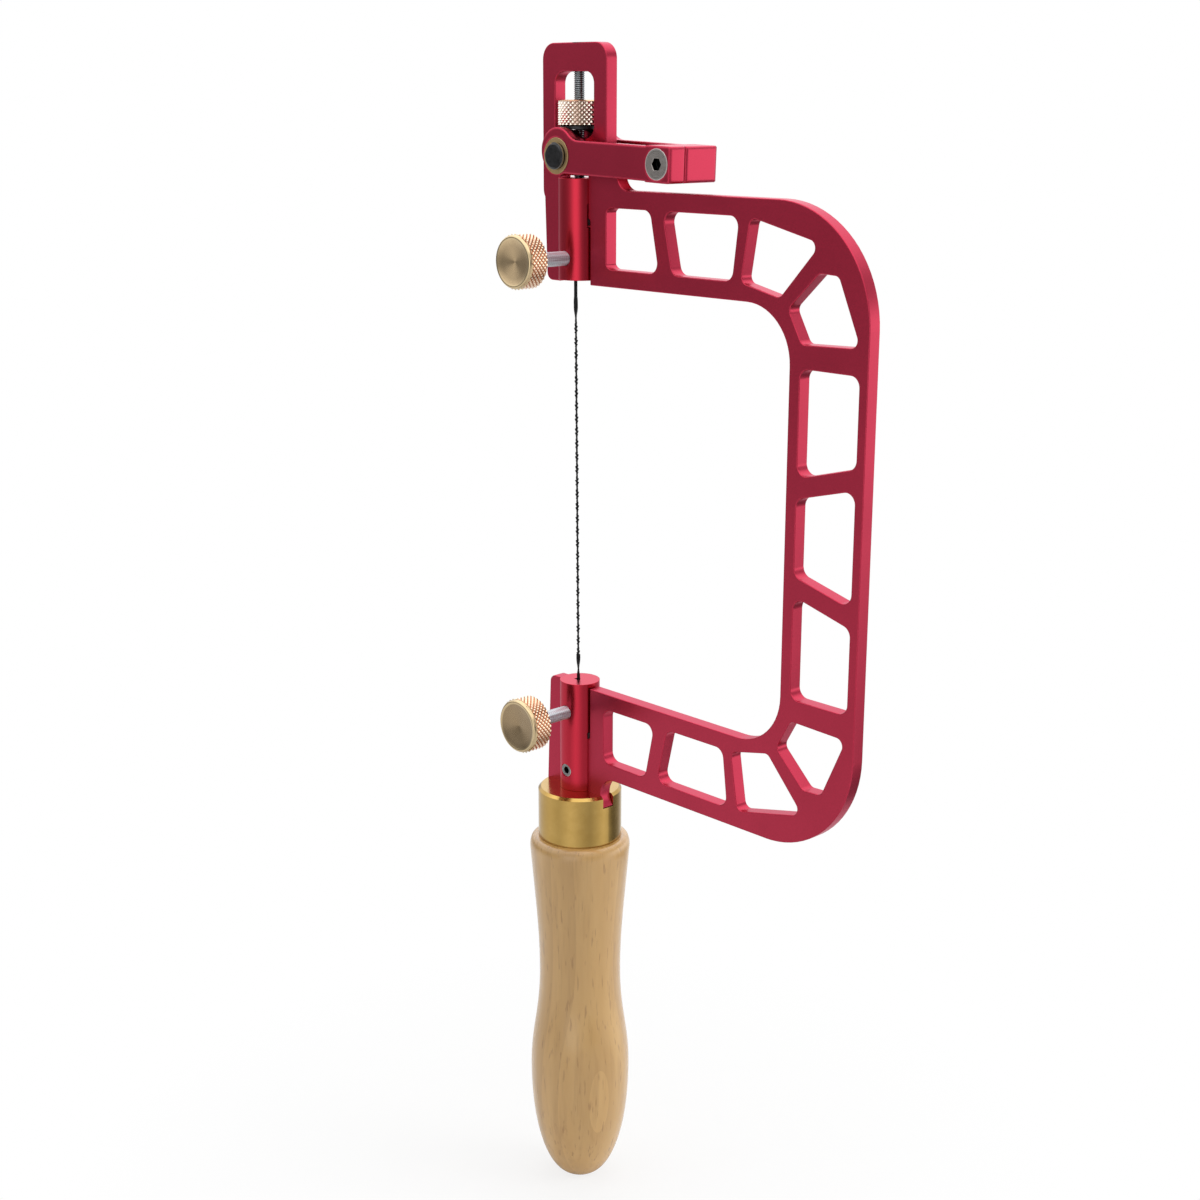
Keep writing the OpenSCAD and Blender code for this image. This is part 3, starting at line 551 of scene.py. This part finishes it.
def cut_metal(name, root, crest, stops, rough, brushed=0.0):
    """Metal cut into a knurl or a thread, coloured by radius: painted shade in the roots and a
    painted highlight on the crests. Root and crest are radii round the piece's own axis, in
    millimetres. Brushed metal stretches its highlights along that axis."""
    mat, tree, bsdf = new_material(name)
    vector = object_coords(tree)
    fine = noise(tree, vector, scale=3000, detail=2)
    distance = radius_from(tree, vector, (0, 0, 0), ROUND_Z)
    # painted shade at the root radius rising to a painted highlight at the crest, with a little
    # noise
    height = band(tree, distance, root * MM, crest * MM)
    shade_to_highlight = maths(tree, "ADD", height, spread(tree, fine, low=-0.12, high=0.12))
    connect(tree, bsdf,
            Base_Color=ramp(tree, shade_to_highlight, stops),
            Roughness=spread(tree, fine, rough - 0.06, rough + 0.06),
            Normal=bump(tree, fine, strength=0.05))
    set_shader(bsdf, Metallic=1.0)
    stretch(tree, bsdf, brushed)
    return mat


def knurled_brass(name, crest, tones):
    """A brass knurl, from the colours of its valleys, flanks and peaks: painted shade in the
    valleys and a painted highlight on the peaks.
    """
    stops = list(zip(KNURL_PLACES, tones))
    return cut_metal(name, crest - KNURL_DEPTH, crest, stops, rough=0.24)


def threaded_steel(name, root, crest, greys):
    """A steel thread with a cold tint, from the greys of its root, flanks and crest: painted
    shade in the root and a painted highlight on the crest.
    """
    tones = [tuple(grey * part for part in STEEL_TINT) for grey in greys]
    stops = list(zip(THREAD_PLACES, tones))
    return cut_metal(name, root, crest, stops, rough=0.40, brushed=0.95)


def polished_brass():
    """The ferrule's polished brass: faint draw lines round it and a light haze."""
    mat, tree, bsdf = new_material("polished_brass")
    haze = noise(tree, object_coords(tree), scale=240, detail=4, rough=0.6)
    lines = noise(tree, object_coords(tree, (0.05, 0.05, 1)), scale=9000, detail=2)
    connect(tree, bsdf,
            Base_Color=two_tones(tree, haze, *FERRULE_BRASS),
            Roughness=spread(tree, haze, low=0.14, high=0.22),
            Normal=bump(tree, lines, strength=0.05))
    set_shader(bsdf, Metallic=1.0)
    return mat


def bright_steel(name, tones, rough):
    """Plain steel with a fine drawn texture and a slight stain."""
    mat, tree, bsdf = new_material(name)
    vector = object_coords(tree)
    stain = noise(tree, vector, scale=320, detail=4, rough=0.6)
    fine = noise(tree, vector, scale=5200, detail=2)
    connect(tree, bsdf,
            Base_Color=two_tones(tree, stain, *tones, start=0.32, end=0.68),
            Roughness=spread(tree, fine, rough - 0.05, rough + 0.07),
            Normal=bump(tree, fine, strength=0.05))
    set_shader(bsdf, Metallic=1.0)
    return mat


def black_oxide(name, rough, grey):
    """Blackened steel with an uneven oily sheen, up to a shade of grey."""
    mat, tree, bsdf = new_material(name)
    vector = object_coords(tree)
    sheen = noise(tree, vector, scale=700, detail=4, rough=0.65)
    fine = noise(tree, vector, scale=6000, detail=2)
    light = (grey, grey, grey * OXIDE_BLUE)
    connect(tree, bsdf,
            Base_Color=two_tones(tree, sheen, OXIDE_BLACK, light, end=0.75),
            Roughness=spread(tree, sheen, rough - 0.07, rough + 0.12),
            Normal=bump(tree, fine, strength=0.06))
    set_shader(bsdf, Metallic=0.85)
    return mat


def socket_screw(node, tones):
    """A screw's faced head with a painted highlight round its rim, and painted shade that
    turns its socket black from just below the face."""
    lo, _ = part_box(node)
    socket_top, socket_full_shade = lo.y + 0.12 * MM, lo.y + 0.4 * MM
    radius = radius_of(node) * MM
    mat, tree, bsdf = new_material("faced_" + node)
    vector = object_coords(tree)
    cloud = noise(tree, vector, scale=900, detail=3)
    depth = add(tree, "ShaderNodeSeparateXYZ", {0: vector}).outputs["Y"]
    # painted shade: the socket goes black from just below the face
    inside = band(tree, depth, socket_top, socket_full_shade)
    faced = two_tones(tree, cloud, *tones)
    distance = radius_from(tree, vector, middle_of(node), ROUND_Y)
    # painted highlight round the head's rim
    rim = spread(tree, distance, low=0.0, high=0.8, from_low=radius * 0.88, from_high=radius * 0.95)
    rim_highlighted = mix_colour(tree, rim, faced, SCREW_RIM_HIGHLIGHT)
    rings = turning_marks(tree, distance, 0.4 * MM, cloud)
    connect(tree, bsdf,
            Base_Color=mix_colour(tree, inside, rim_highlighted, SOCKET_SHADE),
            Roughness=spread(tree, rings, low=0.26, high=0.36, from_low=-1.0),
            Normal=bump(tree, rings, strength=0.10))
    set_shader(bsdf, Metallic=1.0)
    return mat


# Pieces

def curve_point(a, b, c, d, t):
    """The point of a cubic curve through a and d, drawn towards b and c, at a share t."""
    s = 1 - t
    return tuple(a[k] * s ** 3 + 3 * b[k] * s * s * t + 3 * c[k] * s * t * t + d[k] * t ** 3
                 for k in (0, 1))


def handle_points():
    """The handle's half section: the same curves as the CAD, with more samples. Each share
    says how far a curve's control point lies along its span."""
    butt, belly, waist, shoulder, lip = 3.0, 15.2, 12.4, 15.1, 13.15
    belly_z, waist_z, shoulder_z, length = 37.5, 70.5, 110.8, 114.2
    tenon, tenon_top = 10, 121.2
    insert_bore, insert_floor = 3.62, 94.2
    stud_bore, stud_floor = 1.6, 81.2
    taper, rise, cap = waist_z - belly_z, shoulder_z - waist_z, length - shoulder_z
    curves = [
        [(butt, 0), (butt + (belly - butt) * 0.53, 0), (belly, belly_z * 0.373), (belly, belly_z)],
        [(belly, belly_z), (belly, belly_z + taper * 0.379), (waist, belly_z + taper * 0.53),
         (waist, waist_z)],
        [(waist, waist_z), (waist, waist_z + rise * 0.335),
         (waist + (shoulder - waist) * 0.632, waist_z + rise * 0.682), (shoulder, shoulder_z)],
        [(shoulder, shoulder_z), (shoulder, shoulder_z + cap * 0.55),
         (lip + (shoulder - lip) * 0.75, length), (lip, length)],
    ]
    points = [(0, 0)]
    for curve in curves:
        points += [curve_point(*curve, step / CURVE_STEPS) for step in range(CURVE_STEPS)]
    return points + [(lip, length), (tenon, length), (tenon, tenon_top), (insert_bore, tenon_top),
                     (insert_bore, insert_floor), (stud_bore, insert_floor),
                     (stud_bore, stud_floor), (0, stud_floor)]


def build_handle(material):
    """The turned handle."""
    obj = lathe("handle_turned", handle_points(), HANDLE_SIDES)
    shade(obj, angle_deg=40)
    finish_piece(obj, material, "saw_frame", "varnished_wood", "handle")


def build_knob(which, material, knurl, rim):
    """A clamp knob: diamond-knurled rim, rounded front edge and a dished face. Insets are
    measured from the knob's radius, and drops from its front."""
    node = which + "_clamp_knob"
    lo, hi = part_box(node)
    radius, depth = radius_of(node), (hi.y - lo.y) / MM
    bore, bore_floor, mouth, mouth_depth = 2.02, 4.0, 2.25, 0.12
    back_inset, chamfer_inset, chamfer_height = 0.95, 0.6, 0.1
    first, last = 0.45, 5.5
    neck_inset, neck_rise, round_rise = 0.34, 0.08, 0.12
    land_inset, round_width, round_steps = 0.95, 0.65, 6
    rim_drops = [(1.15, 0.02), (1.32, 0.07)]
    dish_rim, dish_drop, dish_depth = radius - 1.5, 0.14, 1.1
    dish_shares = (1, 0.75, 0.5, 0.25, 0.03)
    row_step = (last - first) / KNOB_KNURL_ROWS
    profile = [(0, bore_floor), (bore, bore_floor), (bore, mouth_depth), (mouth, 0),
               (radius - back_inset, 0), (radius - chamfer_inset, chamfer_height)]
    knurl_first = len(profile)
    profile += [(radius, first + row_step * k) for k in range(KNOB_KNURL_ROWS + 1)]
    knurl_last = len(profile) - 1
    profile.append((radius - neck_inset, last + neck_rise))
    front = depth - last - round_rise
    for step in range(round_steps + 1):
        a = step / round_steps * math.pi / 2
        profile.append((radius - land_inset + round_width * math.cos(a),
                        depth - front + front * math.sin(a)))
    profile += [(radius - inset, depth - drop) for inset, drop in rim_drops]
    profile += [(dish_rim * share, depth - dish_drop - (dish_depth - dish_drop) * (1 - share))
                for share in dish_shares]
    profile.append((0, depth - dish_depth))
    obj = lathe(which + "_knob_knurled", profile, 2 * KNOB_DIAMONDS, facing_front(node),
                knurl=(knurl_first, knurl_last))
    shade(obj, angle_deg=24)
    finish_piece(obj, material, which + "_knob", "brass", node)
    mark_band(obj, knurl, first, last, radius - KNURL_DEPTH - KNURL_MARGIN)
    mark_band(obj, rim, last, depth, dish_rim)


def build_nut(material, knurl):
    """The tension nut: diamond knurl between two chamfers, and a threaded bore."""
    lo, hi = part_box("tension_nut")
    radius, height = radius_of("tension_nut"), (hi.z - lo.z) / MM
    bore, chamfer, first = 1.56, 0.75, 0.35
    lower_mouth, lower_depth = 0.25, 0.2
    upper_mouth, upper_depth = 0.45, 0.35
    row_step = (height - 2 * first) / NUT_KNURL_ROWS
    profile = [(bore, lower_depth), (bore + lower_mouth, 0), (radius - chamfer, 0)]
    knurl_first = len(profile)
    profile += [(radius, first + row_step * k) for k in range(NUT_KNURL_ROWS + 1)]
    knurl_last = len(profile) - 1
    profile += [(radius - chamfer, height), (bore + upper_mouth, height),
                (bore, height - upper_depth)]
    obj = lathe("tension_nut_knurled", profile, 2 * NUT_DIAMONDS, standing_on("tension_nut"),
                closed=True, knurl=(knurl_first, knurl_last))
    shade(obj, angle_deg=24)
    finish_piece(obj, material, "nut", "brass", "tension_nut")
    mark_band(obj, knurl, first, height - first, radius - KNURL_DEPTH - KNURL_MARGIN)


def threaded_rod(name, length, crest, root, pitch, matrix, bore=None):
    """A rod with a real helical thread. Each pitch has four rows, two of them on the flat
    crest, which shift along the helix column by column. A bore is (radius, depth) at the
    lower end."""
    rows = PITCH_ROWS * math.ceil(length / pitch) + 2 * SPARE_ROWS
    verts, faces = [], []
    for row in range(rows):
        for column in range(THREAD_SIDES):
            climb = row - SPARE_ROWS + PITCH_ROWS * column / THREAD_SIDES
            z = climb * pitch / PITCH_ROWS
            r = crest if row % PITCH_ROWS in CREST_ROWS else root
            if z <= 0 or z >= length:
                z, r = min(max(z, 0), length), root
            verts.append(ring_point(r, column, THREAD_SIDES, z))
    for row in range(rows - 1):
        for column in range(THREAD_SIDES):
            nxt = (column + 1) % THREAD_SIDES
            up = row + PITCH_ROWS if nxt == 0 else row
            if up + 1 >= rows:
                continue
            a, b = row * THREAD_SIDES + column, up * THREAD_SIDES + nxt
            c, d = (up + 1) * THREAD_SIDES + nxt, (row + 1) * THREAD_SIDES + column
            faces.append((a, b, c, d))
    bottom = list(range(THREAD_SIDES))
    top_rim = len(verts)
    verts += circle(root, length, THREAD_SIDES)
    faces.append(tuple(range(top_rim, top_rim + THREAD_SIDES)))
    if bore is None:
        faces.append(tuple(reversed(bottom)))
    else:
        faces += bored_end(verts, bottom, *bore)
    obj = make_object(name, verts, faces, matrix)
    shade(obj, angle_deg=30)
    return obj


def bored_end(verts, rim, radius, depth):
    """Faces of a blind round hole in the lower end of a rod."""
    sides = len(rim)
    mouth = len(verts)
    floor = mouth + sides
    verts += circle(radius, 0, sides) + circle(radius, depth, sides)
    faces = []
    for k in range(sides):
        n = (k + 1) % sides
        faces.append((rim[n], rim[k], mouth + k, mouth + n))
        faces.append((mouth + n, mouth + k, floor + k, floor + n))
    faces.append(tuple(floor + k for k in reversed(range(sides))))
    return faces


def build_rod(material):
    """The threaded tension rod."""
    lo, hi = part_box("tension_rod")
    obj = threaded_rod("tension_rod_threaded", (hi.z - lo.z) / MM, radius_of("tension_rod"),
                       M3_ROOT, M3_PITCH, standing_on("tension_rod"))
    finish_piece(obj, material, "upper_clamp", "bright_steel", "tension_rod")


def build_clamp_screw(which, material):
    """A clamp's threaded screw, bored at its tip for the pad."""
    node = which + "_clamp_screw"
    lo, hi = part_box(node)
    obj = threaded_rod(which + "_screw_threaded", (hi.y - lo.y) / MM, radius_of(node), M4_ROOT,
                       M4_PITCH, facing_front(node), (SCREW_BORE_RADIUS, SCREW_BORE_DEPTH))
    finish_piece(obj, material, which + "_knob", "bright_steel", node)


def blade_turn(z):
    """Angle of the blade's strip at a height, in radians: slow half turns, then a tight twist."""
    low, high = BLADE_TWIST
    tight_low, tight_high = low + BLADE_LEAD, high - BLADE_LEAD
    if z <= low:
        return 0.0
    if z <= tight_low:
        return -math.pi * (z - low) / BLADE_LEAD
    if z <= tight_high:
        return -math.pi - TAU * BLADE_TURNS * (z - tight_low) / (tight_high - tight_low)
    climb = min((z - tight_high) / BLADE_LEAD, 1)
    return -math.pi - TAU * BLADE_TURNS - math.pi * climb


def blade_x(z):
    """Where the blade's axis lies at a height: it leans between its two clamps."""
    low, high = BLADE_TWIST
    climb = min(max((z - low) / (high - low), 0), 1)
    return BLADE_X[0] + (BLADE_X[1] - BLADE_X[0]) * climb


def tooth_cut(z, phase):
    """How deep the edge is cut at a height: a slow rise to each tip, then a sharp drop."""
    low, high = BLADE_TWIST
    plain = BLADE_LEAD * PLAIN_LEAD_SHARE
    if z < low + plain or z > high - plain:
        return 0.0
    place = (z / TOOTH_PITCH + phase) % 1.0
    if place < TOOTH_RISE_SHARE:
        return TOOTH_GULLET * (1 - place / TOOTH_RISE_SHARE)
    return TOOTH_GULLET * (place - TOOTH_RISE_SHARE) / (1 - TOOTH_RISE_SHARE)


def blade_section(z):
    """The blade's cross section at a height, before it is turned."""
    right = BLADE_HALF_WIDTH - tooth_cut(z, phase=0.0) + TOOTH_STAND
    left = BLADE_HALF_WIDTH - tooth_cut(z, phase=0.5) + TOOTH_STAND
    thick = BLADE_HALF_THICK
    edge = thick * BLADE_EDGE_SHARE
    flat_right, flat_left = right * BLADE_FLAT_SHARE, -left * BLADE_FLAT_SHARE
    return [(right, -edge), (right, edge), (flat_right, thick), (flat_left, thick),
            (-left, edge), (-left, -edge), (flat_left, -thick), (flat_right, -thick)]


def build_blade(material):
    """The spiral blade: a toothed strip, twisted along its length."""
    lo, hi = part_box("blade")
    z, top = lo.z / MM, hi.z / MM
    verts, faces, rows = [], [], 0
    while True:
        turn = blade_turn(z)
        c, s = math.cos(turn), math.sin(turn)
        section = blade_section(z)
        middle = blade_x(z)
        verts += [(middle + x * c - y * s, x * s + y * c, z) for x, y in section]
        rows += 1
        if z >= top:
            break
        z = min(z + BLADE_STEP, top)
    sides = len(section)
    for row in range(rows - 1):
        faces += ring_faces(row, sides)
    faces.append(tuple(reversed(range(sides))))
    faces.append(tuple(range((rows - 1) * sides, rows * sides)))
    obj = make_object("blade_toothed", verts, faces)
    shade(obj, angle_deg=35)
    finish_piece(obj, material, "saw_frame", "black_steel", "blade")


# Stage

def mirrored_level(tree, turn, stops):
    """Brightness by the turn round the object, 0 to 1 from behind it through the camera."""
    places = [((angle + 180) / 360, (level / MIRROR_SCALE,) * 3) for angle, level in stops]
    return maths(tree, "MULTIPLY", ramp(tree, turn, places), MIRROR_SCALE)


def mirrored_studio(tree):
    """The studio that polished faces mirror, by direction."""
    direction = add(tree, "ShaderNodeTexCoord").outputs["Generated"]
    axes = add(tree, "ShaderNodeSeparateXYZ", {0: direction}).outputs
    bearing = maths(tree, "DIVIDE", maths(tree, "ARCTAN2", axes["Y"], axes["X"]), TAU)
    turn = maths(tree, "FRACT", maths(tree, "ADD", bearing, (180 - CAMERA_BEARING) / 360))
    below = mirrored_level(tree, turn, MIRROR_BELOW)
    level = mirrored_level(tree, turn, MIRROR_LEVEL)
    above = mirrored_level(tree, turn, MIRROR_ABOVE)
    lower = mix_value(tree, band(tree, axes["Z"], *LEVEL_BAND), below, level)
    upper = mix_value(tree, band(tree, axes["Z"], *ABOVE_BAND), lower, above)
    return mix_value(tree, band(tree, axes["Z"], *CEILING_BAND), upper, MIRROR_CEILING)


def build_world():
    """A pale studio: white behind the object, and softly shaped in reflections."""
    world = bpy.data.worlds.new("studio")
    world.use_nodes = True
    tree = world.node_tree
    tree.nodes.clear()
    path = add(tree, "ShaderNodeLightPath").outputs
    seen = maths(tree, "MAXIMUM", path["Is Camera Ray"], path["Is Transmission Ray"])
    level = mix_value(tree, path["Is Glossy Ray"], AMBIENT, mirrored_studio(tree))
    level = mix_value(tree, seen, level, 1.0)
    background = add(tree, "ShaderNodeBackground", {"Color": WHITE, "Strength": level})
    output = add(tree, "ShaderNodeOutputWorld")
    tree.links.new(background.outputs[0], output.inputs["Surface"])
    bpy.context.scene.world = world


def floor_material():
    """Pale matt floor that fades into the white background away from the object."""
    fade_start, fade_end, fade_least = 0.02, 0.16, 0.80
    mat, tree, bsdf = new_material("pale_floor")
    vector = object_coords(tree)
    fleck = noise(tree, vector, scale=90, detail=3)
    connect(tree, bsdf, Base_Color=two_tones(tree, fleck, *FLOOR_TONES))
    set_shader(bsdf, Roughness=0.9, Specular_IOR_Level=0.1)
    distance = radius_from(tree, vector, (0, 0, 0), ROUND_Z)
    fade = spread(tree, distance, fade_least, 1.0, fade_start, fade_end)
    path = add(tree, "ShaderNodeLightPath").outputs
    fac = maths(tree, "MULTIPLY", fade, path["Is Camera Ray"])
    white = add(tree, "ShaderNodeEmission", {"Color": WHITE, "Strength": 1.0})
    mixed = add(tree, "ShaderNodeMixShader", {0: fac, 1: bsdf.outputs[0], 2: white.outputs[0]})
    tree.links.new(mixed.outputs[0], tree.nodes["Material Output"].inputs["Surface"])
    return mat


def build_floor():
    """A round floor under the handle's butt."""
    sides, radius, gap = 96, 0.22, 0.0002
    mesh = bpy.data.meshes.new("floor")
    mesh.from_pydata(circle(radius, -gap, sides), [], [tuple(range(sides))])
    floor = bpy.data.objects.new("floor", mesh)
    bpy.context.scene.collection.objects.link(floor)
    mesh.materials.append(floor_material())


def soft_light(name, place, size, watts):
    """A round lamp that lights the saw, but isn't mirrored in it."""
    data = bpy.data.lights.new(name, "AREA")
    data.shape = "DISK"
    data.size = size
    data.energy = watts
    lamp = bpy.data.objects.new(name, data)
    lamp.location = place
    lamp.visible_glossy = False
    lamp.rotation_mode = "QUATERNION"
    lamp.rotation_quaternion = (Vector(LAMP_AIM) - Vector(place)).to_track_quat("-Z", "Y")
    bpy.context.scene.collection.objects.link(lamp)


def build_camera():
    """The photograph's view: 46.6 degrees round to the right and 15 degrees down."""
    azimuth = math.radians(46.60)
    elevation = math.radians(15.08)
    roll = math.radians(0.13)
    data = bpy.data.cameras.new("photo_view")
    data.sensor_width = 36.0
    data.lens = 56.02
    camera = bpy.data.objects.new("photo_view", data)
    camera.location = (0.38778, -0.35856, 0.32963)
    back = Vector((math.sin(azimuth) * math.cos(elevation),
                   -math.cos(azimuth) * math.cos(elevation), math.sin(elevation)))
    camera.rotation_mode = "QUATERNION"
    camera.rotation_quaternion = Quaternion(back, roll) @ (-back).to_track_quat("-Z", "Y")
    bpy.context.scene.collection.objects.link(camera)
    bpy.context.scene.camera = camera


# The build

def dress_cad_nodes(brass):
    """Materials and edge breaks of the pieces that stay as the CAD has them."""
    bronze = turned_metal("bearing_bronze", BRONZE, rough=0.33, centre=middle_of("pivot_pin"),
                          mask=ROUND_Y)
    paint(["frame"], anodised_red("anodised_red", PLATE_RED, rough=0.35, edge=EDGE_BREAK))
    paint(["lever_near_arm", "lever_far_arm"],
          anodised_red("anodised_lever", PLATE_RED, rough=0.33, edge=LEVER_EDGE_BREAK))
    paint(["lower_post", "upper_post"],
          anodised_red("anodised_posts", POST_RED, rough=0.28, edge=EDGE_BREAK, grit=0.35))
    paint(["ferrule"], polished_brass())
    paint(["handle_insert", "guide_bush"], brass)
    paint(["near_pivot_bush", "far_pivot_bush"], bronze)
    paint(["handle_stud", "upper_clamp_pad", "lower_clamp_pad"],
          bright_steel("bright_steel", PLAIN_STEEL, rough=0.24))
    paint(["retaining_clips"], bright_steel("clip_steel", CLIP_STEEL, rough=0.3))
    paint(["lever_screw"], socket_screw("lever_screw", LEVER_SCREW_STEEL))
    paint(["lower_post_set_screw"], socket_screw("lower_post_set_screw", SET_SCREW_STEEL))
    paint(["lower_dowel", "upper_dowel", "thrust_washer", "pivot_pin"],
          black_oxide("black_oxide", rough=0.36, grey=0.040))
    soften("frame", EDGE_BREAK, clamped=False)
    for name in ("lever_near_arm", "lever_far_arm", "lower_post", "upper_post"):
        soften(name, EDGE_BREAK)
    for name in ("lever_screw", "lower_post_set_screw", "near_pivot_bush", "far_pivot_bush"):
        soften(name, FINE_EDGE_BREAK)


def build_pieces(brass):
    """The pieces that stand for CAD nodes with more detail."""
    build_handle(varnished_wood())
    rim_brass = turned_metal("rim_brass", RIM_BRASS, rough=0.15)
    screw_steel = threaded_steel("threaded_m4", M4_ROOT, M4_CREST, M4_SHADED_GREYS)
    for which in ("upper", "lower"):
        knurl = knurled_brass(which + "_knurl", radius_of(which + "_clamp_knob"), KNOB_KNURL_SHADE_TO_HIGHLIGHT)
        # the lower knob's face takes the darker copy of the brass: painted shade
        faces = turned_metal(which + "_knob_brass", FACE_BRASS_LOWER_SHADED[which], rough=0.24, brushed=0.8)
        build_knob(which, faces, knurl, rim_brass)
        build_clamp_screw(which, screw_steel)
    build_nut(brass, knurled_brass("nut_knurl", NUT_RADIUS, NUT_KNURL_SHADE_TO_HIGHLIGHT))
    build_rod(threaded_steel("threaded_m3", M3_ROOT, M3_CREST, M3_SHADED_GREYS))
    build_blade(black_oxide("blade_black", rough=0.42, grey=0.012))


def build_stage():
    """Background, floor, lamps and camera."""
    build_world()
    build_floor()
    for lamp in LAMPS:
        soft_light(*lamp)
    build_camera()


bpy.context.scene.view_settings.view_transform = "Standard"
turned_brass = turned_metal("turned_brass", TURNED_BRASS, rough=0.27)
dress_cad_nodes(turned_brass)
build_pieces(turned_brass)
build_stage()
